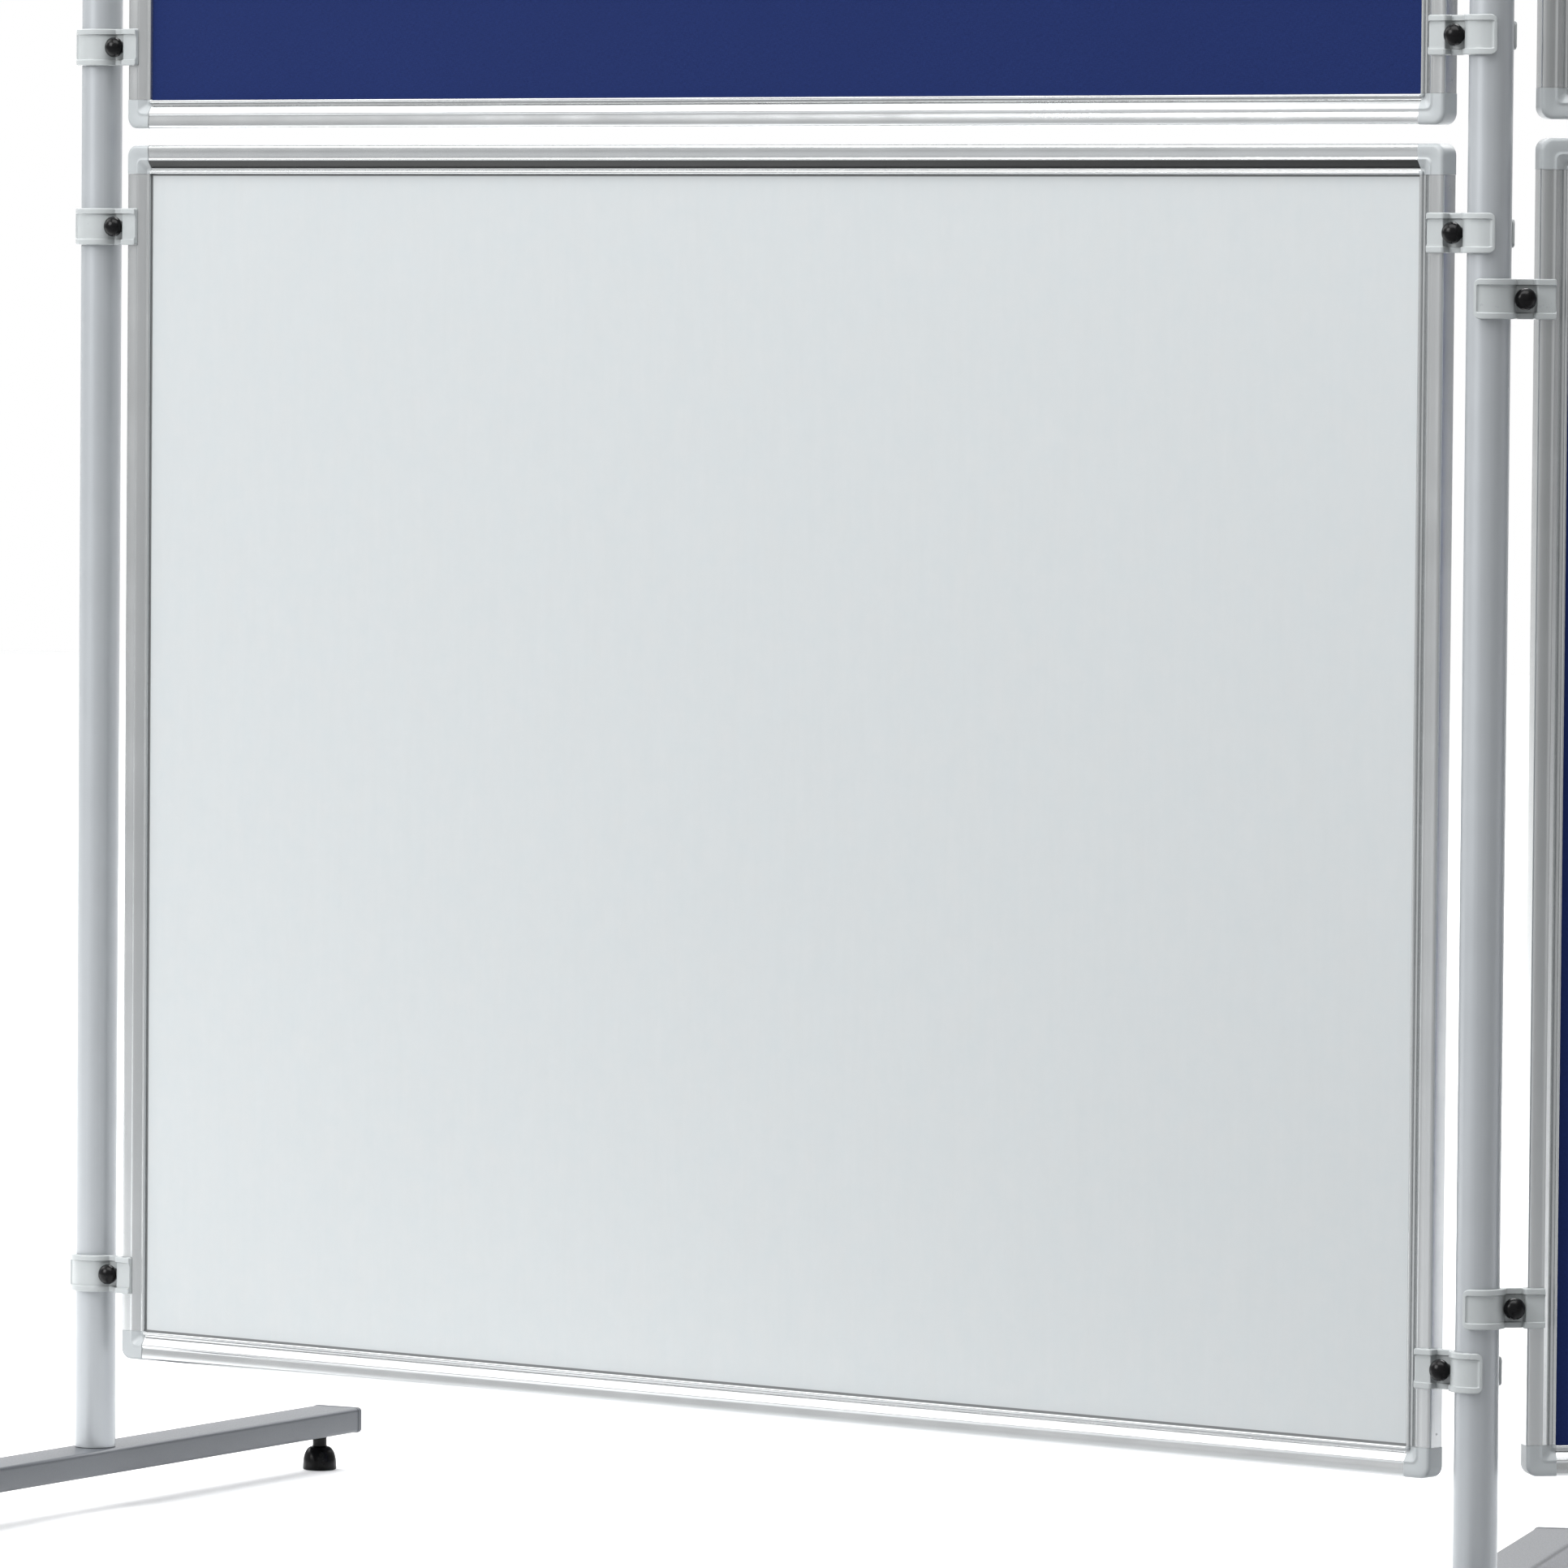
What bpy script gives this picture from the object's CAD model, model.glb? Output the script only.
"""Exhibition partition wall in its studio: detailed meshes and materials over the CAD frame.

Lengths are in metres. A bay is built in its own frame, with the middle post's axis at the
origin, the panel along +X and the front at -Y, and is then turned, or mirrored and turned,
into the row's frame.
"""

import math

import bmesh
import bpy
from mathutils import Matrix, Vector


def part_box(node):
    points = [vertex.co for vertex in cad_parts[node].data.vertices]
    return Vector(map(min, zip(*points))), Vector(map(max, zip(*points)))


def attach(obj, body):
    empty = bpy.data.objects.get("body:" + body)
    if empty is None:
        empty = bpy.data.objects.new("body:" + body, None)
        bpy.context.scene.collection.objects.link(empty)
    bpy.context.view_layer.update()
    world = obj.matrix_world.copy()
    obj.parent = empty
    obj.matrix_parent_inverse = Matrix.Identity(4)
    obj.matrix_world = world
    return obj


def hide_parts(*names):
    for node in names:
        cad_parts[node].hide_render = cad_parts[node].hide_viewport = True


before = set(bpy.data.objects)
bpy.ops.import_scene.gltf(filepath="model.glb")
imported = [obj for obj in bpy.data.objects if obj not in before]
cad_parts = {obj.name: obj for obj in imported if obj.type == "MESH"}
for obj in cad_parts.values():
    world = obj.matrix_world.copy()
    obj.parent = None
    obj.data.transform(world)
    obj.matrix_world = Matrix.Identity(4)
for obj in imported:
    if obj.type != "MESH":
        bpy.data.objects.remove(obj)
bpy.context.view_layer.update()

MM = 0.001
SIDES = ("left", "right")
LEVELS = ("lower", "upper")
POSTS = ("left", "middle", "right")
CORNERS = ("bottom_inner", "bottom_outer", "top_inner", "top_outer")


# ---------------------------------------------------------------- sizes, read from the frame


def middle_of(node):
    """Middle of a CAD node's box."""
    low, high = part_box(node)
    return (low + high) / 2


def size_of(node):
    """Size of a CAD node's box."""
    low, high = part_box(node)
    return high - low


AXIS = {post: middle_of(post + "_post_tube") for post in POSTS}
REACH = AXIS["right"] - AXIS["middle"]
PITCH = math.hypot(REACH.x, REACH.y)
TURN = math.atan2(REACH.y, REACH.x)
POST_R = size_of("middle_post_tube").x / 2
TUBE_Z = [corner.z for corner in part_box("middle_post_tube")]
POST_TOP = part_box("middle_post_cap")[1].z

FOOT_Z = [corner.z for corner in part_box("middle_foot_beam")]
FOOT_W = size_of("middle_foot_beam").x
BEAM_HALF = size_of("middle_foot_beam").y / 2
FOOT_HALF = size_of("middle_foot_caps").y / 2
FOOT_CAP_W = size_of("middle_foot_caps").x
FOOT_CAP_H = size_of("middle_foot_caps").z
GLIDE_R = size_of("middle_front_glide").x / 2
GLIDE_REACH = AXIS["middle"].y - middle_of("middle_front_glide").y
BELL_H = 20 * MM
STUD_R = 4 * MM

PANEL_H = size_of("right_lower_frame").z
EDGE_GAP = 33 * MM
PANEL_W = PITCH - 2 * EDGE_GAP
FRAME_T = 16.5 * MM
CORNER_T = 17.4 * MM
FACE_W = 21 * MM
SHEET_HALF = 4 * MM
SHEET_INSET = 12.6 * MM

WRAP_R = POST_R + 0.3 * MM
JAW_T = 2.6 * MM
JAW_H = 27 * MM
RIB_OUT = 1.3 * MM
RIB_H = 4.4 * MM
PLATE_Y = FRAME_T / 2 + 0.15 * MM
PLATE_END = EDGE_GAP + 11 * MM
STEP_X = EDGE_GAP - 2.4 * MM
WEB_Y = 1.6 * MM
REAR_JAW_T = 1.8 * MM
REAR_JAW_H = 20 * MM
WRAP_END = math.radians(-138)
SCREW_X = 22.5 * MM
SCREW_R = 2.5 * MM
KNOB_R = 7.5 * MM


def is_felt(side, level):
    """The lower left panel is a plain board, and the others are covered with felt."""
    return (side, level) != ("left", "lower")


def bay_matrix(side):
    """From a bay's own frame to the row's frame."""
    turned = Matrix.Rotation(TURN, 4, "Z")
    if side == "left":
        turned = Matrix.Scale(-1, 4, (1, 0, 0)) @ turned
    return Matrix.Translation((AXIS["middle"].x, AXIS["middle"].y, 0)) @ turned


def post_matrix(post):
    """From a post's own frame, with its foot along Y, to the row's frame."""
    if post == "middle":
        return Matrix.Translation((AXIS["middle"].x, AXIS["middle"].y, 0))
    to_glide = middle_of("right_rear_glide") - AXIS["right"]
    foot_turn = TURN - math.atan2(-to_glide.x, to_glide.y)
    return bay_matrix(post) @ Matrix.Translation((PITCH, 0, 0)) @ Matrix.Rotation(-foot_turn, 4, "Z")


def panel_matrix(side, level):
    """From a panel's own frame, its lower inner corner at the origin, to the row's frame."""
    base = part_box(f"{side}_{level}_frame")[0].z
    return bay_matrix(side) @ Matrix.Translation((EDGE_GAP, 0, base))


def clamp_matrix(side, level, corner):
    """From a clamp's own frame, the gripped post's axis at the origin, to the row's frame."""
    height = middle_of(f"knob_{side}_{level}_{corner}").z
    placed = bay_matrix(side)
    if corner.endswith("outer"):
        placed = placed @ Matrix.Translation((PITCH, 0, 0)) @ Matrix.Scale(-1, 4, (1, 0, 0))
    return placed @ Matrix.Translation((0, 0, height))


# ---------------------------------------------------------------- node helpers


def new_material(name, colour, roughness, metallic=0.0, coat=0.0, sheen=0.0):
    """A Principled material and a small graph builder for it."""
    material = bpy.data.materials.new(name)
    material.use_nodes = True
    shader = material.node_tree.nodes["Principled BSDF"]
    shader.inputs["Base Color"].default_value = (*colour, 1)
    shader.inputs["Roughness"].default_value = roughness
    shader.inputs["Metallic"].default_value = metallic
    shader.inputs["Coat Weight"].default_value = coat
    shader.inputs["Coat Roughness"].default_value = 0.25
    shader.inputs["Sheen Weight"].default_value = sheen
    return material, Graph(material.node_tree, shader)


class Graph:
    """Short calls for the node graphs that the materials share."""

    def __init__(self, tree, shader):
        self.tree = tree
        self.shader = shader

    def node(self, kind, **values):
        node = self.tree.nodes.new(kind)
        for key, value in values.items():
            setattr(node, key, value)
        return node

    def link(self, source, target):
        self.tree.links.new(source, target)

    def place(self, space, scale):
        """Texture coordinates from UV or Object space, stretched per axis."""
        coords = self.node("ShaderNodeTexCoord")
        mapping = self.node("ShaderNodeMapping")
        mapping.inputs["Scale"].default_value = scale
        self.link(coords.outputs[space], mapping.inputs["Vector"])
        return mapping.outputs["Vector"]

    def noise(self, where, scale, detail=4.0, rough=0.55):
        noise = self.node("ShaderNodeTexNoise")
        noise.inputs["Scale"].default_value = scale
        noise.inputs["Detail"].default_value = detail
        noise.inputs["Roughness"].default_value = rough
        self.link(where, noise.inputs["Vector"])
        return noise.outputs["Fac"]

    def spread(self, value, low, high, source=(0.3, 0.7)):
        """value moved from the source range to low..high."""
        span = self.node("ShaderNodeMapRange")
        span.inputs["From Min"].default_value = source[0]
        span.inputs["From Max"].default_value = source[1]
        span.inputs["To Min"].default_value = low
        span.inputs["To Max"].default_value = high
        self.link(value, span.inputs["Value"])
        return span.outputs["Result"]

    def colours(self, value, stops):
        """Colour ramp over value; stops are (place, colour)."""
        ramp = self.node("ShaderNodeValToRGB")
        elements = ramp.color_ramp.elements
        while len(elements) < len(stops):
            elements.new(0.5)
        for element, (place, colour) in zip(elements, stops):
            element.position = place
            element.color = (*colour, 1)
        self.link(value, ramp.inputs["Fac"])
        return ramp.outputs["Color"]

    def folded(self, axis, length):
        """A UV coordinate that runs up to half of length and back down to 0."""
        coords = self.node("ShaderNodeTexCoord")
        split = self.node("ShaderNodeSeparateXYZ")
        fold = self.node("ShaderNodeMath", operation="PINGPONG")
        fold.inputs[1].default_value = length / 2
        self.link(coords.outputs["UV"], split.inputs[0])
        self.link(split.outputs[axis], fold.inputs[0])
        return fold.outputs[0]

    def from_edges(self, width, height):
        """Distance from the nearest edge of a sheet whose UVs run from one of its corners."""
        nearest = self.node("ShaderNodeMath", operation="MINIMUM")
        self.link(self.folded("X", width), nearest.inputs[0])
        self.link(self.folded("Y", height), nearest.inputs[1])
        return nearest.outputs[0]

    def band(self, value, low, high, soft):
        """1 between low and high, and 0 outside, with soft edges."""
        both = self.node("ShaderNodeMath", operation="MULTIPLY")
        self.link(self.spread(value, 0, 1, (low - soft, low)), both.inputs[0])
        self.link(self.spread(value, 1, 0, (high, high + soft)), both.inputs[1])
        return both.outputs[0]

    def facing_down(self):
        """1 where the surface leans down, 0 where it stands upright or leans up."""
        coords = self.node("ShaderNodeNewGeometry")
        split = self.node("ShaderNodeSeparateXYZ")
        self.link(coords.outputs["Normal"], split.inputs[0])
        return self.spread(split.outputs["Z"], 1, 0, (-0.4, -0.12))

    def mix(self, fac, first, second, mode="MIX"):
        """Two colours mixed; each is an output or a constant, and so is fac."""
        mix = self.node("ShaderNodeMix", data_type="RGBA", blend_type=mode)
        for value, socket in ((fac, mix.inputs[0]), (first, mix.inputs[6]), (second, mix.inputs[7])):
            if isinstance(value, bpy.types.NodeSocket):
                self.link(value, socket)
            elif isinstance(value, tuple):
                socket.default_value = (*value, 1)
            else:
                socket.default_value = value
        return mix.outputs[2]

    def bump(self, height, distance, strength=1.0, under=None):
        bump = self.node("ShaderNodeBump")
        bump.inputs["Strength"].default_value = strength
        bump.inputs["Distance"].default_value = distance
        self.link(height, bump.inputs["Height"])
        if under is not None:
            self.link(under, bump.inputs["Normal"])
        return bump.outputs["Normal"]

    def surface(self, colour=None, roughness=None, normal=None):
        for value, name in ((colour, "Base Color"), (roughness, "Roughness"), (normal, "Normal")):
            if value is not None:
                self.link(value, self.shader.inputs[name])


# ---------------------------------------------------------------- materials


def anodised(name, colour, roughness, metallic, slope=None):
    """Satin anodised aluminium: fine drawn lines along U, faint cloudiness, soft handling
    marks. A slope is duller where it faces down: (low, high, whole length) in V."""
    material, g = new_material(name, colour, roughness, metallic=metallic)
    lines = g.noise(g.place("UV", (1.5, 2600, 1)), 1.0, detail=1.0)
    cloud = g.noise(g.place("Object", (1, 1, 1)), 9.0, detail=5.0)
    marks = g.noise(g.place("Object", (1, 1, 1)), 26.0, detail=3.0)
    darker = tuple(c * 0.975 for c in colour)
    lighter = tuple(min(1, c * 1.015) for c in colour)
    tone = g.mix(g.spread(lines, 0, 1), darker, lighter)
    tone = g.mix(g.spread(cloud, 0, 0.35), tone, tuple(c * 0.93 for c in colour))
    rough = g.spread(marks, roughness, roughness + 0.06)
    if slope:
        inside = g.band(g.folded("Y", slope[2]), slope[0], slope[1], 0.3 * MM)
        shade = g.node("ShaderNodeMath", operation="MULTIPLY")
        g.link(inside, shade.inputs[0])
        g.link(g.facing_down(), shade.inputs[1])
        tone = g.mix(shade.outputs[0], tone, tuple(c * 0.05 for c in colour))
    g.surface(tone, rough)
    return material


def moulded(name, colour, roughness, grain=0.00003, grain_scale=1600.0, coat=0.0, gloss=0.5):
    """Moulded plastic: fine spark-eroded grain, slight tone drift, dust in the hollows."""
    material, g = new_material(name, colour, roughness, coat=coat)
    g.shader.inputs["Specular IOR Level"].default_value = gloss
    where = g.place("Object", (1, 1, 1))
    fine = g.noise(where, grain_scale, detail=2.0)
    drift = g.noise(where, 14.0, detail=4.0)
    smudge = g.noise(where, 60.0, detail=6.0, rough=0.65)
    tone = g.mix(g.spread(drift, 0, 1), tuple(c * 0.94 for c in colour), tuple(c * 1.04 for c in colour))
    tone = g.mix(g.spread(smudge, 0, 0.25, (0.5, 0.8)), tone, tuple(c * 0.88 for c in colour))
    rough = g.mix(g.spread(smudge, 0, 1), (roughness - 0.04,) * 3, (roughness + 0.08,) * 3)
    g.surface(tone, rough, g.bump(fine, grain, 0.5))
    return material


def powder_coat(name, colour, roughness):
    """Silver grey powder coat: orange peel with fine metallic flecks."""
    material, g = new_material(name, colour, roughness, metallic=0.25, coat=0.12)
    where = g.place("Object", (1, 1, 1))
    peel = g.noise(where, 900.0, detail=3.0)
    fleck = g.noise(where, 5200.0, detail=1.0)
    drift = g.noise(where, 11.0, detail=4.0)
    tone = g.mix(g.spread(fleck, 0, 1, (0.4, 0.65)), tuple(c * 0.93 for c in colour), tuple(c * 1.07 for c in colour))
    tone = g.mix(g.spread(drift, 0, 0.3), tone, tuple(c * 0.9 for c in colour))
    g.surface(tone, g.spread(peel, roughness - 0.05, roughness + 0.07), g.bump(peel, 0.00004, 0.45))
    return material


def laminate(name, colour):
    """Light grey board: faint vertical mottling, a fine matte texture and a dark seal line
    beside the frame."""
    material, g = new_material(name, colour, 0.52, coat=0.04)
    streaks = g.noise(g.place("UV", (150, 14, 1)), 1.0, detail=5.0, rough=0.6)
    mottle = g.noise(g.place("Object", (1, 1, 1)), 55.0, detail=6.0, rough=0.65)
    fine = g.noise(g.place("Object", (1, 1, 1)), 2400.0, detail=2.0)
    tone = g.mix(g.spread(streaks, 0, 1), tuple(c * 0.985 for c in colour), tuple(c * 1.01 for c in colour))
    cool = (colour[0] * 0.93, colour[1] * 0.97, colour[2] * 0.99)
    tone = g.mix(g.spread(mottle, 0, 0.5), tone, cool)
    edge = g.from_edges(PANEL_W - 2 * SHEET_INSET, PANEL_H - 2 * SHEET_INSET)
    seal = FACE_W - SHEET_INSET + 1.3 * MM
    tone = g.mix(g.spread(edge, 1, 0, (seal, seal + 0.4 * MM)), tone, tuple(c * 0.3 for c in colour))
    g.surface(tone, g.spread(mottle, 0.48, 0.6), g.bump(fine, 0.00002, 0.4))
    return material


def felt(name, colour):
    """Needle felt: matted fibres in two directions, soft lumps, and a pale fuzz at grazing angles."""
    material, g = new_material(name, colour, 0.96, sheen=0.15)
    g.shader.inputs["Sheen Roughness"].default_value = 0.45
    g.shader.inputs["Sheen Tint"].default_value = (0.25, 0.33, 0.75, 1)
    g.shader.inputs["Specular IOR Level"].default_value = 0.15
    along = g.noise(g.place("UV", (340, 2300, 1)), 1.0, detail=5.0, rough=0.7)
    across = g.noise(g.place("UV", (2100, 420, 1)), 1.0, detail=5.0, rough=0.7)
    lumps = g.noise(g.place("UV", (1, 1, 1)), 210.0, detail=4.0)
    patches = g.noise(g.place("UV", (1, 1, 1)), 7.0, detail=4.0)
    fibre = g.mix(0.5, along, across)
    dark = tuple(c * 0.62 for c in colour)
    light = (colour[0] * 1.55, colour[1] * 1.5, colour[2] * 1.35)
    tone = g.colours(fibre, [(0.36, dark), (0.5, colour), (0.68, light)])
    tone = g.mix(g.spread(patches, 0, 0.3), tone, tuple(c * 0.82 for c in colour))
    coarse = g.bump(lumps, 0.0004, 0.45)
    g.surface(tone, None, g.bump(fibre, 0.0003, 0.7, under=coarse))
    return material


def fibreboard(name, colour):
    """Pressed fibreboard: fine speckle of lighter and darker fibres."""
    material, g = new_material(name, colour, 0.85)
    speck = g.noise(g.place("Object", (1, 1, 1)), 700.0, detail=5.0, rough=0.7)
    tone = g.colours(speck, [(0.35, tuple(c * 0.7 for c in colour)), (0.6, tuple(c * 1.2 for c in colour))])
    g.surface(tone, None, g.bump(speck, 0.0001, 0.5))
    return material


def zinc(name, colour):
    """Zinc-plated steel: blotchy passivation and turning marks."""
    material, g = new_material(name, colour, 0.32, metallic=1.0)
    blotch = g.noise(g.place("Object", (1, 1, 1)), 180.0, detail=5.0)
    tone = g.mix(g.spread(blotch, 0, 1), tuple(c * 0.82 for c in colour), tuple(c * 1.1 for c in colour))
    g.surface(tone, g.spread(blotch, 0.25, 0.45), g.bump(blotch, 0.00002, 0.4))
    return material


# ---------------------------------------------------------------- mesh helpers


class Shell:
    """Points, faces and UVs of one piece while it is being built in its own frame."""

    def __init__(self):
        self.points = []
        self.faces = []
        self.uvs = []

    def add_points(self, points):
        first = len(self.points)
        self.points.extend(Vector(p) for p in points)
        return first

    def face(self, corners, uvs=None):
        self.faces.append(corners)
        self.uvs.append(uvs or [(0.0, 0.0)] * len(corners))

    def grid(self, rows, ring=False, loop=False):
        """Quads between rows of points; ring joins the last row to the first, and loop
        joins each row's last point to its first. U runs across the rows, V along them."""
        count = len(rows[0])
        first = self.add_points(p for row in rows for p in row)
        u = running_length([row[0] for row in rows])
        v = running_length(rows[0])
        for i in range(len(rows) if ring else len(rows) - 1):
            for j in range(count if loop else count - 1):
                a, b = i, (i + 1) % len(rows)
                c, d = j, (j + 1) % count
                u2 = u[b] if b > a else u[a] + (Vector(rows[b][0]) - Vector(rows[a][0])).length
                v2 = v[d] if d > c else v[c] + (Vector(rows[0][d]) - Vector(rows[0][c])).length
                corners = [first + a * count + c, first + b * count + c,
                           first + b * count + d, first + a * count + d]
                self.face(corners, [(u[a], v[c]), (u2, v[c]), (u2, v2), (u[a], v2)])
        return first

    def cap(self, points):
        """One flat face over a closed outline of new points."""
        first = self.add_points(points)
        uvs = [(p[0] + p[1], p[2]) for p in points]
        self.face(list(range(first, first + len(points))), uvs)

    def lathe(self, outline, segments=64, at=(0, 0, 0), turn=None):
        """Solid of revolution about Z; outline is (radius, height) from axis to axis."""
        place = Matrix.Translation(at) @ (turn or Matrix.Identity(4))
        rows = []
        for i in range(segments):
            angle = 2 * math.pi * i / segments
            spoke = (math.cos(angle), math.sin(angle))
            rows.append([place @ Vector((r * spoke[0], r * spoke[1], z)) for r, z in outline])
        first = len(self.uvs)
        self.grid(rows, ring=True)
        self.uvs[first:] = [[(v, u) for u, v in uvs] for uvs in self.uvs[first:]]

    def sweep(self, section, ends, across, up):
        """A closed section carried straight from ends[0] to ends[1], with both ends closed."""
        start, stop = Vector(ends[0]), Vector(ends[1])
        steps = max(2, int((stop - start).length / 0.12))
        rows = []
        for i in range(steps + 1):
            centre = start.lerp(stop, i / steps)
            rows.append([centre + across * x + up * y for x, y in section])
        self.grid(rows, loop=True)
        self.cap(rows[0])
        self.cap(rows[-1])

    def piece(self, name, matrix, body, slot, stands_for, sharp=32, bevel=0.0):
        """The finished object, in the row's frame, riding on its body."""
        mesh = bpy.data.meshes.new(name)
        mesh.from_pydata([matrix @ p for p in self.points], [], self.faces)
        layer = mesh.uv_layers.new(name="metres")
        flat = [value for uvs in self.uvs for uv in uvs for value in uv]
        layer.data.foreach_set("uv", flat)
        work = bmesh.new()
        work.from_mesh(mesh)
        bmesh.ops.remove_doubles(work, verts=work.verts, dist=0.000002)
        bmesh.ops.recalc_face_normals(work, faces=work.faces)
        work.to_mesh(mesh)
        work.free()
        mesh.shade_smooth()
        mesh.set_sharp_from_angle(angle=math.radians(sharp))
        mesh.materials.append(MATERIALS[slot])
        obj = bpy.data.objects.new(name, mesh)
        bpy.context.scene.collection.objects.link(obj)
        if bevel:
            edge = obj.modifiers.new("edge", "BEVEL")
            edge.width = bevel
            edge.segments = 2
            edge.limit_method = "ANGLE"
            edge.angle_limit = math.radians(50)
            edge.harden_normals = True
        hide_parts(*stands_for)
        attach(obj, body)
        return obj


def running_length(points):
    """Distance along a row of points, at each point."""
    total = [0.0]
    for a, b in zip(points, points[1:]):
        total.append(total[-1] + (Vector(b) - Vector(a)).length)
    return total


def arc(x, y, radius, start, stop, steps):
    """Points along an arc, with angles in degrees, both ends included."""
    angles = [math.radians(start + (stop - start) * i / steps) for i in range(steps + 1)]
    return [(x + radius * math.cos(a), y + radius * math.sin(a)) for a in angles]


def round_rect(width, height, radius, steps=6):
    """Outline of a rounded rectangle about the origin."""
    x, y = width / 2 - radius, height / 2 - radius
    return (arc(x, y, radius, 0, 90, steps) + arc(-x, y, radius, 90, 180, steps)
            + arc(-x, -y, radius, 180, 270, steps) + arc(x, -y, radius, 270, 360, steps))


def smooth_step(low, high, value):
    t = min(1.0, max(0.0, (value - low) / (high - low)))
    return t * t * (3 - 2 * t)


# ---------------------------------------------------------------- posts and feet


def build_post(post):
    """Tube, cap and foot bolt of one post."""
    place, body = post_matrix(post), post + "_post"
    low, high = TUBE_Z
    inner = POST_R - 1.5 * MM
    lip = 0.3 * MM
    tube = Shell()
    steps = 24
    wall = [(POST_R, low + lip + (high - low - 2 * lip) * i / steps) for i in range(steps + 1)]
    tube.lathe([(inner, high), (POST_R - lip, high)][::-1][1:] + [(inner, high - 0.03), (inner, low),
               (POST_R - lip, low)] + wall + [(POST_R - lip, high), (inner, high)], segments=96)
    tube.piece(f"{post}_tube", place, body, "post_aluminium", [f"{post}_post_tube"])

    seat = high
    cap = Shell()
    rise = POST_TOP - seat
    skirt = rise * 0.42
    dome = [(POST_R * math.cos(a), seat + skirt + (rise - skirt) * math.sin(a))
            for a in (math.pi / 2 * i / 14 for i in range(1, 14))]
    cap.lathe([(0, seat - 14 * MM), (inner - 1 * MM, seat - 14 * MM), (inner - 0.1 * MM, seat - 13 * MM),
               (inner - 0.1 * MM, seat + 0.2 * MM), (POST_R - 0.5 * MM, seat + 0.2 * MM),
               (POST_R - 0.05 * MM, seat + 0.6 * MM), (POST_R, seat + skirt)] + dome + [(0, POST_TOP)],
              segments=96)
    cap.piece(f"{post}_cap", place, body, "cap_plastic", [f"{post}_post_cap"])

    bolt_low, bolt_high = [corner.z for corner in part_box(f"{post}_foot_bolt")]
    head_h = 8 * MM
    bolt = Shell()
    bolt.lathe([(0, bolt_low + 4 * MM), (3.6 * MM, bolt_low + 3.4 * MM), (4 * MM, bolt_low), (7.4 * MM, bolt_low),
                (8 * MM, bolt_low + 0.6 * MM), (8 * MM, bolt_low + head_h - 0.3 * MM), (7.7 * MM, bolt_low + head_h),
                (5 * MM, bolt_low + head_h)] + thread(5 * MM, bolt_low + head_h, bolt_high, 1.5 * MM)
               + [(0, bolt_high)], segments=40)
    bolt.piece(f"{post}_bolt", place, body, "bolt_steel", [f"{post}_foot_bolt"])


def thread(radius, low, high, pitch):
    """Outline of a threaded shank: 60 degree crests from low to high."""
    points, z, depth = [], low, pitch * 0.5
    while z + pitch < high:
        points += [(radius, z + pitch * 0.1), (radius - depth, z + pitch * 0.5), (radius, z + pitch * 0.9)]
        z += pitch
    return points + [(radius - depth, high)]


def build_foot(post):
    """Foot beam with its two end caps."""
    place, body = post_matrix(post), post + "_foot"
    mid_z = sum(FOOT_Z) / 2
    height = FOOT_Z[1] - FOOT_Z[0]
    across, up = Vector((1, 0, 0)), Vector((0, 0, 1))
    beam = Shell()
    beam.sweep(round_rect(FOOT_W, height, 3 * MM), ((0, -BEAM_HALF, mid_z), (0, BEAM_HALF, mid_z)), across, up)
    for end in (-1, 1):
        beam.lathe([(STUD_R + 0.1 * MM, FOOT_Z[0] + 0.5 * MM), (STUD_R + 0.1 * MM, FOOT_Z[0] - 0.25 * MM),
                    (6.4 * MM, FOOT_Z[0] - 0.25 * MM), (6.8 * MM, FOOT_Z[0] + 0.5 * MM)],
                   segments=40, at=(0, end * GLIDE_REACH, 0))
    beam.piece(f"{post}_beam", place, body, "foot_metal", [f"{post}_foot_beam"], sharp=50)

    caps = Shell()
    for end in (-1, 1):
        stations = [(BEAM_HALF - 0.3 * MM, -1.2), (BEAM_HALF + 0.05 * MM, -0.2), (BEAM_HALF + 0.5 * MM, 0.0),
                    (FOOT_HALF - 1.6 * MM, 0.0), (FOOT_HALF - 0.8 * MM, -0.25), (FOOT_HALF - 0.25 * MM, -0.8),
                    (FOOT_HALF, -1.7)]
        rows = []
        for y, grow in stations:
            outline = round_rect(FOOT_CAP_W + 2 * grow * MM, FOOT_CAP_H + 2 * grow * MM, 3.4 * MM + grow * MM * 0.8)
            rows.append([Vector((x, end * y, mid_z + z)) for x, z in outline])
        caps.grid(rows, loop=True)
        caps.cap(rows[0])
        inset = round_rect(FOOT_CAP_W - 9 * MM, FOOT_CAP_H - 8 * MM, 2 * MM)
        dish = [Vector((x, end * (FOOT_HALF - 0.5 * MM), mid_z + z)) for x, z in inset]
        rim = [Vector((x * 1.04, end * FOOT_HALF, mid_z + z * 1.08)) for x, z in inset]
        caps.grid([rows[-1], rim, dish], loop=True)
        caps.cap(dish)
    caps.piece(f"{post}_end_caps", place, body, "foot_cap_plastic", [f"{post}_foot_caps"], sharp=40)


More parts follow.
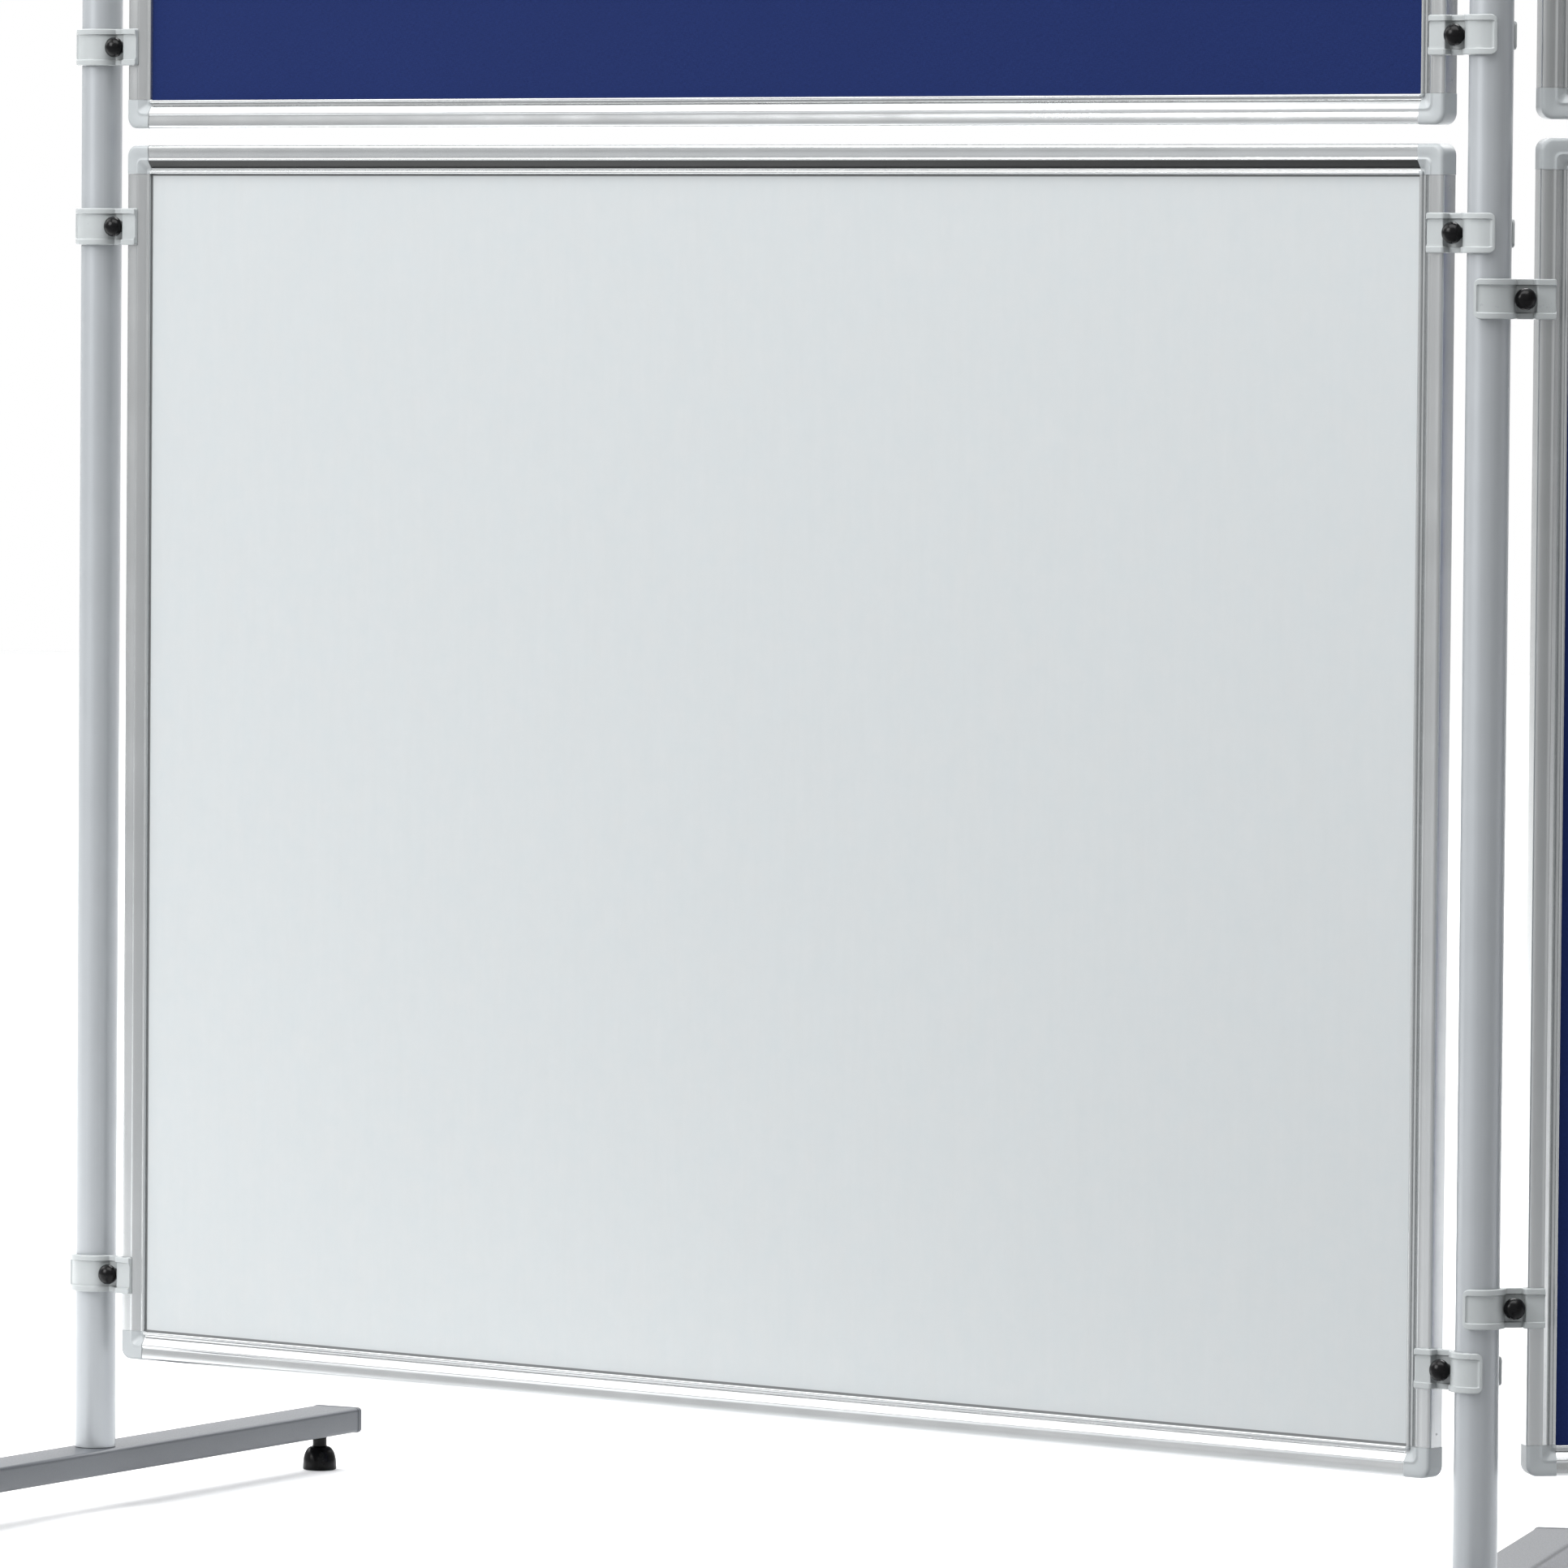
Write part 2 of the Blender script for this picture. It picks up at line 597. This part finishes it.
def build_glide(post, end):
    """Bell-shaped levelling glide with its collar and threaded stud."""
    top = BELL_H
    shoulder = 6 * MM
    flank = [(shoulder + (GLIDE_R - shoulder) * math.cos(a), 4 * MM + (top - 6 * MM) * math.sin(a))
             for a in (math.radians(5 * i) for i in range(0, 18))]
    outline = [(0, 0.8 * MM), (GLIDE_R - 5 * MM, 0.8 * MM), (GLIDE_R - 4.2 * MM, 0), (GLIDE_R - 1.2 * MM, 0),
               (GLIDE_R - 0.3 * MM, 0.5 * MM), (GLIDE_R, 1.4 * MM)] + flank
    outline += [(5.6 * MM, top - 1.6 * MM), (5.5 * MM, top + 0.2 * MM), (5.5 * MM, top + 4.6 * MM),
                (5.1 * MM, top + 5 * MM), (STUD_R, top + 5 * MM)]
    outline += thread(STUD_R, top + 5 * MM, FOOT_Z[0] + 12 * MM, 1.25 * MM) + [(0, FOOT_Z[0] + 12 * MM)]
    node = f"{post}_{end}_glide"
    glide = Shell()
    glide.lathe(outline, segments=72)
    reach = -GLIDE_REACH if end == "front" else GLIDE_REACH
    place = post_matrix(post) @ Matrix.Translation((0, reach, 0))
    glide.piece(f"{post}_{end}_levelling_glide", place, node, "black_plastic", [node], sharp=35)


# ---------------------------------------------------------------- panels


def frame_section(raised=0.0):
    """Closed outline of the frame's section: (distance in from the outer edge, depth). A
    shallow hollow flange, a slope down towards the board and a round lip beside it."""
    top = FRAME_T / 2 + raised
    edge = 2.6 * MM
    floor = 4.5 * MM + raised * 0.3
    lip = 1.3 * MM
    front = arc(edge, top - edge, edge, 180, 90, 8)
    hollow = [(4.0, 0), (5.5, 0.08), (7.0, 0.3), (8.4, 0.52), (9.2, 0.6), (9.7, 0.5), (10.2, 0.22),
              (10.6, 0.08), (11.0, 0.12), (11.3, 0.3)]
    front += [(x * MM, top - drop * MM) for x, drop in hollow]
    front += arc(17.0 * MM, floor + 0.7 * MM, 0.7 * MM, 220, 270, 4)
    front += [(18.2 * MM, floor), (18.4 * MM, floor + 0.1 * MM)]
    front += arc(FACE_W - lip, 5.3 * MM, lip, 180, 0, 10)
    front += [(FACE_W, 4.3 * MM)]
    back = [(x, -y) for x, y in reversed(front)]
    return front + back


def slope_span():
    """Where the section's slope starts and ends along its outline, and the whole length."""
    section = frame_section()
    along = running_length([(x, y, 0) for x, y in section])
    inside = [s for (x, y), s in zip(section, along) if 11.2 * MM < x < 18.5 * MM and y > 0]
    return inside[0], inside[-1], along[-1]


def build_frame(side, level):
    """Two rails and two stiles between the corner pieces."""
    bars = Shell()
    section = frame_section()
    seam = FACE_W + 0.12 * MM
    x_axis, y_axis, z_axis = Vector((1, 0, 0)), Vector((0, 1, 0)), Vector((0, 0, 1))
    far_x, far_z = PANEL_W, PANEL_H
    bars.sweep(section, ((seam, 0, 0), (far_x - seam, 0, 0)), z_axis, y_axis)
    bars.sweep(section, ((seam, 0, far_z), (far_x - seam, 0, far_z)), -z_axis, y_axis)
    bars.sweep(section, ((0, 0, seam), (0, 0, far_z - seam)), x_axis, y_axis)
    bars.sweep(section, ((far_x, 0, seam), (far_x, 0, far_z - seam)), -x_axis, y_axis)
    bars.piece(f"{side}_{level}_rails_and_stiles", panel_matrix(side, level), f"{side}_{level}_panel",
               "frame_aluminium", [f"{side}_{level}_frame"], sharp=38)


def corner_rows(inset=0.0):
    """Rows round a corner piece, from the rail's end to the stile's end, in its own frame."""
    raised = (CORNER_T - FRAME_T) / 2 - inset
    section = frame_section(raised)
    steps = 14
    rows = []
    for i in range(steps + 3):
        row = []
        for d, y in section:
            d = max(d, inset)
            radius = 8 * MM - 0.36 * d
            turn = math.radians(90 * min(max(i - 1, 0), steps) / steps)
            x = d + radius - radius * math.sin(turn)
            z = d + radius - radius * math.cos(turn)
            if i == 0:
                x = FACE_W - inset
            if i == steps + 2:
                z = FACE_W - inset
            row.append(Vector((x, y, z)))
        rows.append(row)
    return rows


def build_corners(side, level):
    """Four rounded corner pieces that carry the bead round the corner, with their pin heads."""
    corners = Shell()
    for flip_x in (0, 1):
        for flip_z in (0, 1):
            turn = Matrix.Translation((flip_x * PANEL_W, 0, flip_z * PANEL_H))
            turn = turn @ Matrix.Diagonal((1 - 2 * flip_x, 1, 1 - 2 * flip_z, 1))
            rows = [[turn @ p for p in row] for row in corner_rows()]
            corners.grid(rows, loop=True)
            corners.cap(rows[0])
            corners.cap(rows[-1])
            build_pin_heads(corners, turn)
    corners.piece(f"{side}_{level}_corner_pieces", panel_matrix(side, level), f"{side}_{level}_panel",
                  "corner_plastic", [f"{side}_{level}_corners"], sharp=38)


def build_pin_heads(shell, turn):
    """Domed heads of the pins that lock a corner piece's pegs, on the frame's outer edges."""
    reach = 30 * MM
    head = [(0, 0.25 * MM), (1.2 * MM, 0.2 * MM), (2.0 * MM, 0.05 * MM), (2.2 * MM, -0.1 * MM), (0, -0.1 * MM)]
    outward = Matrix.Rotation(math.radians(-90), 4, "Y")
    sunk = 0.22 * MM
    shell.lathe(head, segments=20, turn=turn @ Matrix.Translation((sunk, 0, reach)) @ outward)
    down = Matrix.Rotation(math.radians(180), 4, "X")
    shell.lathe(head, segments=20, turn=turn @ Matrix.Translation((reach, 0, sunk)) @ down)


def sheet_rows(inset, depth, step=0.022, swell=0.0):
    """Grid of a sheet's face with slight unevenness, in the panel's frame."""
    columns = int((PANEL_W - 2 * inset) / step)
    lines = int((PANEL_H - 2 * inset) / step)
    rows = []
    for i in range(columns + 1):
        x = inset + (PANEL_W - 2 * inset) * i / columns
        row = []
        for j in range(lines + 1):
            z = inset + (PANEL_H - 2 * inset) * j / lines
            wave = math.sin(x * 21 + 1.3) * math.sin(z * 17 + x * 5) + math.sin(x * 53 - z * 31) * 0.5
            row.append(Vector((x, depth + swell * wave, z)))
        rows.append(row)
    return rows


def closed_sheet(shell, inset, outer, inner, swell):
    """A thin sheet: an uneven outer face, a flat inner face and the edges between them."""
    face = sheet_rows(inset, outer, swell=swell)
    back = sheet_rows(inset, inner)
    shell.grid(face)
    shell.grid(back)
    for a, b in ((face[0], back[0]), (face[-1], back[-1])):
        shell.grid([a, b])
    for k in (0, -1):
        shell.grid([[row[k] for row in face], [row[k] for row in back]])


def build_infill(side, level):
    """The plain board, or the core with felt on both faces."""
    place, body = panel_matrix(side, level), f"{side}_{level}_panel"
    inset = SHEET_INSET
    if not is_felt(side, level):
        board = Shell()
        closed_sheet(board, inset, -SHEET_HALF + 0.1 * MM, SHEET_HALF - 0.1 * MM, 0.04 * MM)
        board.piece(f"{side}_{level}_board", place, body, "grey_board", [f"{side}_{level}_core"])
        return
    core = Shell()
    closed_sheet(core, inset, -3 * MM, 3 * MM, 0.0)
    core.piece(f"{side}_{level}_core_board", place, body, "core_board", [f"{side}_{level}_core"])
    cloth = Shell()
    for face in (-1, 1):
        closed_sheet(cloth, inset, face * (SHEET_HALF - 0.05 * MM), face * 3.02 * MM, 0.12 * MM)
    cloth.piece(f"{side}_{level}_felt_faces", place, body, "blue_felt", [f"{side}_{level}_felt"])


# ---------------------------------------------------------------- clamps


def jaw_path(thick):
    """Stations along a jaw, from the wrap's end over the low web and the step to the plate's
    end: the outer surface's point, its outward normal, and the inner surface's point."""
    outer_r = WRAP_R + thick
    web_y, plate_y = -(WEB_Y + JAW_T), -(PLATE_Y + JAW_T)
    web_in, plate_in = -WEB_Y, -PLATE_Y
    wall_in = EDGE_GAP - 0.3 * MM
    fillet, inside, outside = 1.7 * MM, 1.5 * MM, 0.7 * MM
    centre_y = web_y - fillet
    centre_x = math.sqrt((outer_r + fillet) ** 2 - centre_y ** 2)
    join = math.atan2(centre_y, centre_x)
    mouth = math.atan2(web_in, math.sqrt(WRAP_R ** 2 - web_in ** 2))
    stations = []
    steps = 30
    for i in range(steps + 1):
        angle = WRAP_END + (join - WRAP_END) * ease_ends(i / steps, both=False)
        out = Vector((math.cos(angle), math.sin(angle), 0))
        stations.append((out * outer_r, out, out * WRAP_R))
    steps = 4
    for i in range(1, steps + 1):
        angle = math.pi + join + (math.pi / 2 - math.pi - join) * i / steps
        out = Vector((-math.cos(angle), -math.sin(angle), 0))
        under = join + (mouth - join) * i / steps
        stations.append((Vector((centre_x, centre_y, 0)) - out * fillet, out,
                         Vector((math.cos(under), math.sin(under), 0)) * WRAP_R))
    forward, back = Vector((0, -1, 0)), Vector((-1, 0, 0))
    start, stop, mouth_x = centre_x, STEP_X - inside, WRAP_R * math.cos(mouth)
    for t in (0.25, 0.5, 0.75, 1.0):
        stations.append((Vector((start + (stop - start) * t, web_y, 0)), forward,
                         Vector((mouth_x + (wall_in - 0.6 * MM - mouth_x) * t, web_in, 0))))
    steps = 3
    for i in range(1, steps + 1):
        angle = math.pi / 2 * i / steps
        out = forward * math.cos(angle) + back * math.sin(angle)
        centre = Vector((STEP_X - inside, web_y - inside, 0))
        stations.append((centre - out * inside, out,
                         Vector((wall_in - 0.6 * MM + 0.6 * MM * i / steps, web_in, 0))))
    for t in (0.33, 0.66, 1.0):
        y = web_y - inside + (plate_y + outside - web_y + inside) * t
        stations.append((Vector((STEP_X, y, 0)), back, Vector((wall_in, web_in + (plate_in - web_in) * t, 0))))
    for i in range(1, steps + 1):
        angle = math.pi / 2 * i / steps
        out = back * math.cos(angle) + forward * math.sin(angle)
        centre = Vector((STEP_X + outside, plate_y + outside, 0))
        stations.append((centre + out * outside, out, Vector((wall_in + 0.6 * MM * i / steps, plate_in, 0))))
    steps = 16
    for i in range(1, steps + 1):
        t = 1 - ease_ends(1 - i / steps, both=False)
        x = STEP_X + outside + (PLATE_END - STEP_X - outside) * t
        stations.append((Vector((x, plate_y, 0)), forward,
                         Vector((wall_in + 0.6 * MM + (PLATE_END - wall_in - 0.6 * MM) * t, plate_in, 0))))
    return stations


def ease_ends(t, both=True):
    """Parameter with closer spacing near 0, and near 1 as well if both."""
    return 0.5 - 0.5 * math.cos(math.pi * t) if both else t ** 1.6


def jaw_rows(stations, height, ribbed):
    """Outer and inner rows of a jaw. A ribbed jaw has a rib along both edges and a rim at the
    wrap's end, and every rim is rounded."""
    along = running_length([point for point, out, inner in stations])
    total = along[-1]
    half = height / 2
    edge_r = 0.7 * MM
    gaps = [0, 0.1, 0.3, 0.55, 0.8, 1.6, 3.3, 3.8, 4.0, 4.2, 4.4, 4.8, 6.5, 9.0]
    outer, inner = [], []
    for (point, out, under), s in zip(stations, along):
        first, last = s, total - s
        limit = half - corner_cut(first, 4.5 * MM) - corner_cut(last, 1.5 * MM)
        levels = [limit - min(g * MM, limit) for g in gaps if g * MM < limit * 0.98] + [0.0]
        levels += [0.0] * (len(gaps) + 1 - len(levels))
        heights = [-z for z in levels] + [z for z in reversed(levels[:-1])]
        row_out, row_in = [], []
        for z in heights:
            away = min(limit - abs(z), first, last)
            round_off = edge_r - math.sqrt(max(0.0, edge_r ** 2 - (edge_r - min(away, edge_r)) ** 2))
            rib = 1 - smooth_step(RIB_H - 0.6 * MM, RIB_H + 0.1 * MM, limit - abs(z))
            rim = 1 - smooth_step(2.2 * MM, 3.2 * MM, first)
            raise_by = (RIB_OUT * max(rib, rim) if ribbed else 0.0) - round_off
            row_out.append(point + out * raise_by + Vector((0, 0, z)))
            row_in.append(under + Vector((0, 0, z)))
        outer.append(row_out)
        inner.append(row_in)
    return outer, inner


def corner_cut(distance, radius):
    """How much a rounded corner takes off the edge at that distance from the end."""
    if distance >= radius:
        return 0.0
    return radius - math.sqrt(max(0.0, radius ** 2 - (radius - distance) ** 2))


def add_jaw(shell, place, rear):
    """One jaw, in the clamp's frame; the rear one is mirrored and has a threaded boss."""
    turn = place @ Matrix.Scale(-1, 4, (0, 1, 0)) if rear else place
    if rear:
        outer, inner = jaw_rows(jaw_path(REAR_JAW_T), REAR_JAW_H, ribbed=False)
    else:
        outer, inner = jaw_rows(jaw_path(JAW_T), JAW_H, ribbed=True)
    outer = [[turn @ p for p in row] for row in outer]
    inner = [[turn @ p for p in row] for row in inner]
    shell.grid(outer)
    shell.grid(inner)
    shell.grid([outer[0], inner[0]])
    shell.grid([outer[-1], inner[-1]])
    for k in (0, -1):
        shell.grid([[row[k] for row in outer], [row[k] for row in inner]])
    forward = turn @ Matrix.Translation((SCREW_X, 0, 0)) @ Matrix.Rotation(math.radians(90), 4, "X")
    seat = WEB_Y + JAW_T
    if rear:
        boss = [(SCREW_R + 0.05 * MM, seat - 0.4 * MM), (SCREW_R + 0.05 * MM, seat + 2.3 * MM),
                (SCREW_R + 0.5 * MM, seat + 2.9 * MM), (4.4 * MM, seat + 2.9 * MM), (5 * MM, seat + 2.3 * MM),
                (5 * MM, seat + 0.5 * MM), (5.4 * MM, seat - 0.1 * MM), (5.4 * MM, seat - 0.4 * MM)]
    else:
        boss = [(SCREW_R + 0.4 * MM, seat - 0.3 * MM), (SCREW_R + 0.4 * MM, seat + 0.08 * MM),
                (5.2 * MM, seat + 0.08 * MM), (5.6 * MM, seat - 0.3 * MM)]
    shell.lathe(boss + [boss[0]], segments=40, turn=forward)


def build_jaws(side, level):
    """The front jaws and the rear jaws of a panel's four clamps."""
    body = f"{side}_{level}_panel"
    for rear, word in ((False, "front"), (True, "rear")):
        jaws = Shell()
        for corner in CORNERS:
            add_jaw(jaws, clamp_matrix(side, level, corner), rear)
        jaws.piece(f"{side}_{level}_{word}_clamp_jaws", Matrix.Identity(4), body, "clamp_plastic",
                   [f"{side}_{level}_{word}_jaws"], sharp=42)


def build_knob(side, level, corner):
    """Black ball knob with a collar and its screw."""
    node = f"knob_{side}_{level}_{corner}"
    seat = WEB_Y + JAW_T + 0.15 * MM
    length = seat + WEB_Y + JAW_T + 2 * MM
    squash = 0.82
    centre = 7.4 * MM
    ball = [(KNOB_R * math.cos(a), centre + KNOB_R * squash * math.sin(a))
            for a in (math.radians(-50 + 6 * i) for i in range(24))]
    outline = [(0, -length), (SCREW_R - 0.5 * MM, -length), (SCREW_R, -length + 0.5 * MM), (SCREW_R, 0), (4.1 * MM, 0),
               (4.5 * MM, 0.3 * MM), (4.5 * MM, 1.3 * MM), (4.7 * MM, 1.7 * MM)] + ball
    outline += [(0, ball[-1][1] + 0.02 * MM)]
    knob = Shell()
    knob.lathe(outline, segments=64)
    forward = Matrix.Translation((SCREW_X, -seat, 0)) @ Matrix.Rotation(math.radians(90), 4, "X")
    place = clamp_matrix(side, level, corner) @ forward
    knob.piece(f"{side}_{level}_{corner}_knob", place, node, "black_plastic", [node], sharp=40)


# ---------------------------------------------------------------- camera, light and floor


def build_camera():
    """The photograph's viewing angle: standing back with a long lens."""
    data = bpy.data.cameras.new("camera")
    data.sensor_width = 36
    data.lens = 253.483
    data.clip_end = 100
    camera = bpy.data.objects.new("camera", data)
    bpy.context.scene.collection.objects.link(camera)
    yaw, pitch, roll = math.radians(13.8241), math.radians(2.6347), math.radians(0.4646)
    forward = Vector((-math.sin(yaw) * math.cos(pitch), math.cos(yaw) * math.cos(pitch), -math.sin(pitch)))
    level = Vector((math.cos(yaw), math.sin(yaw), 0))
    upward = level.cross(forward)
    right = level * math.cos(roll) + upward * math.sin(roll)
    up = upward * math.cos(roll) - level * math.sin(roll)
    turn = Matrix((right, up, -forward)).transposed().to_4x4()
    stand = Vector((AXIS["middle"].x + 1.3131, AXIS["middle"].y - 7.3010, 0.9230))
    camera.matrix_world = Matrix.Translation(stand) @ turn
    bpy.context.scene.camera = camera


def area_light(name, place, target, size, watts, colour=(1, 1, 1)):
    """Soft rectangular light aimed at a point."""
    data = bpy.data.lights.new(name, "AREA")
    data.shape = "RECTANGLE"
    data.size, data.size_y = size
    data.energy = watts
    data.color = colour
    lamp = bpy.data.objects.new(name, data)
    lamp.location = place
    lamp.rotation_euler = (Vector(target) - Vector(place)).to_track_quat("-Z", "Y").to_euler()
    bpy.context.scene.collection.objects.link(lamp)


def build_stage():
    """Wide pale floor, white behind the wall and greyer in front of it, and soft lights."""
    reach = 18.0
    mesh = bpy.data.meshes.new("floor")
    corners = [(-reach, -reach, 0), (reach, -reach, 0), (reach, reach, 0), (-reach, reach, 0)]
    mesh.from_pydata(corners, [], [(0, 1, 2, 3)])
    material, g = new_material("studio paper", (0.9, 0.9, 0.9), 0.75)
    grain = g.noise(g.place("Object", (1, 1, 1)), 260.0, detail=3.0)
    paper = g.mix(g.spread(grain, 0, 1), (0.88, 0.885, 0.89), (0.92, 0.92, 0.92))
    coords = g.node("ShaderNodeTexCoord")
    split = g.node("ShaderNodeSeparateXYZ")
    g.link(coords.outputs["Object"], split.inputs[0])
    edge = AXIS["middle"].y
    behind = g.spread(split.outputs["Y"], 0, 1, (edge - 0.3, edge + 0.25))
    g.surface(g.mix(behind, (0.34, 0.345, 0.35), paper))
    mesh.materials.append(material)
    floor = bpy.data.objects.new("studio_floor", mesh)
    bpy.context.scene.collection.objects.link(floor)

    build_surround()
    area_light("key", (-7.5, -6.5, 5.5), (0, 0, 1.0), (4.5, 4.5), 760)
    area_light("top", (-0.2, -1.6, 4.6), (-0.3, 0.2, 1.0), (4.5, 2.5), 220)
    area_light("side_strip", (-5.0, -0.1, 4.7), (-0.6, 0.2, 1.0), (3.4, 2.6), 75)
    area_light("floor_left", (-4.2, 1.6, 2.6), (-1.2, 0.2, 0), (2, 2), 45)
    area_light("floor_wash", (-0.5, 3.4, 5.0), (-0.5, 3.0, 0), (7, 3), 420)
    area_light("far_wash", (0, 11.0, 9.0), (0, 11.2, 0), (26, 10), 1600)


def build_surround():
    """Surround that is bright on the left and behind the wall and falls off to the right. The
    camera itself sees plain white."""
    world = bpy.data.worlds.new("studio")
    world.use_nodes = True
    tree = world.node_tree
    background = tree.nodes["Background"]
    background.inputs["Color"].default_value = (1, 1, 1, 1)
    coords = tree.nodes.new("ShaderNodeTexCoord")
    split = tree.nodes.new("ShaderNodeSeparateXYZ")
    span = tree.nodes.new("ShaderNodeMapRange")
    span.interpolation_type = "SMOOTHSTEP"
    span.inputs["From Min"].default_value = 0.35
    span.inputs["From Max"].default_value = 0.95
    span.inputs["To Min"].default_value = 0.66
    span.inputs["To Max"].default_value = 0.3
    behind = tree.nodes.new("ShaderNodeMapRange")
    behind.interpolation_type = "SMOOTHSTEP"
    behind.inputs["From Min"].default_value = 0.55
    behind.inputs["From Max"].default_value = 0.95
    behind.inputs["To Max"].default_value = 1.0
    brighter = tree.nodes.new("ShaderNodeMath")
    brighter.operation = "MAXIMUM"
    path = tree.nodes.new("ShaderNodeLightPath")
    seen = tree.nodes.new("ShaderNodeMath")
    seen.operation = "MAXIMUM"
    tree.links.new(coords.outputs["Generated"], split.inputs[0])
    tree.links.new(split.outputs["X"], span.inputs["Value"])
    tree.links.new(split.outputs["Y"], behind.inputs["Value"])
    tree.links.new(span.outputs["Result"], brighter.inputs[0])
    tree.links.new(behind.outputs["Result"], brighter.inputs[1])
    tree.links.new(brighter.outputs[0], seen.inputs[0])
    tree.links.new(path.outputs["Is Camera Ray"], seen.inputs[1])
    tree.links.new(seen.outputs[0], background.inputs["Strength"])
    bpy.context.scene.world = world


def build_view():
    """Plain colour handling, so that the studio white stays white."""
    bpy.context.scene.view_settings.view_transform = "Standard"
    bpy.context.scene.view_settings.exposure = 0.0


# ---------------------------------------------------------------- everything

MATERIALS = {
    "post_aluminium": anodised("post aluminium", (0.355, 0.374, 0.392), 0.36, 0.5),
    "frame_aluminium": anodised("frame aluminium", (0.52, 0.535, 0.54), 0.2, 0.88, slope_span()),
    "cap_plastic": moulded("cap plastic", (0.21, 0.225, 0.235), 0.5),
    "corner_plastic": moulded("corner plastic", (0.31, 0.33, 0.34), 0.34),
    "clamp_plastic": moulded("clamp plastic", (0.33, 0.35, 0.355), 0.3, coat=0.15),
    "foot_cap_plastic": moulded("foot cap plastic", (0.07, 0.076, 0.086), 0.45),
    "black_plastic": moulded("black plastic", (0.003, 0.003, 0.0034), 0.24, gloss=0.14),
    "foot_metal": powder_coat("foot coating", (0.076, 0.083, 0.094), 0.42),
    "grey_board": laminate("grey laminate", (0.38, 0.397, 0.404)),
    "blue_felt": felt("blue felt", (0.0046, 0.0132, 0.072)),
    "core_board": fibreboard("fibreboard", (0.36, 0.25, 0.14)),
    "bolt_steel": zinc("zinc plated steel", (0.62, 0.61, 0.58)),
}

build_camera()
for post in POSTS:
    build_post(post)
    build_foot(post)
    for end in ("front", "rear"):
        build_glide(post, end)
for side in SIDES:
    for level in LEVELS:
        build_frame(side, level)
        build_corners(side, level)
        build_infill(side, level)
        build_jaws(side, level)
        for corner in CORNERS:
            build_knob(side, level, corner)
build_stage()
build_view()
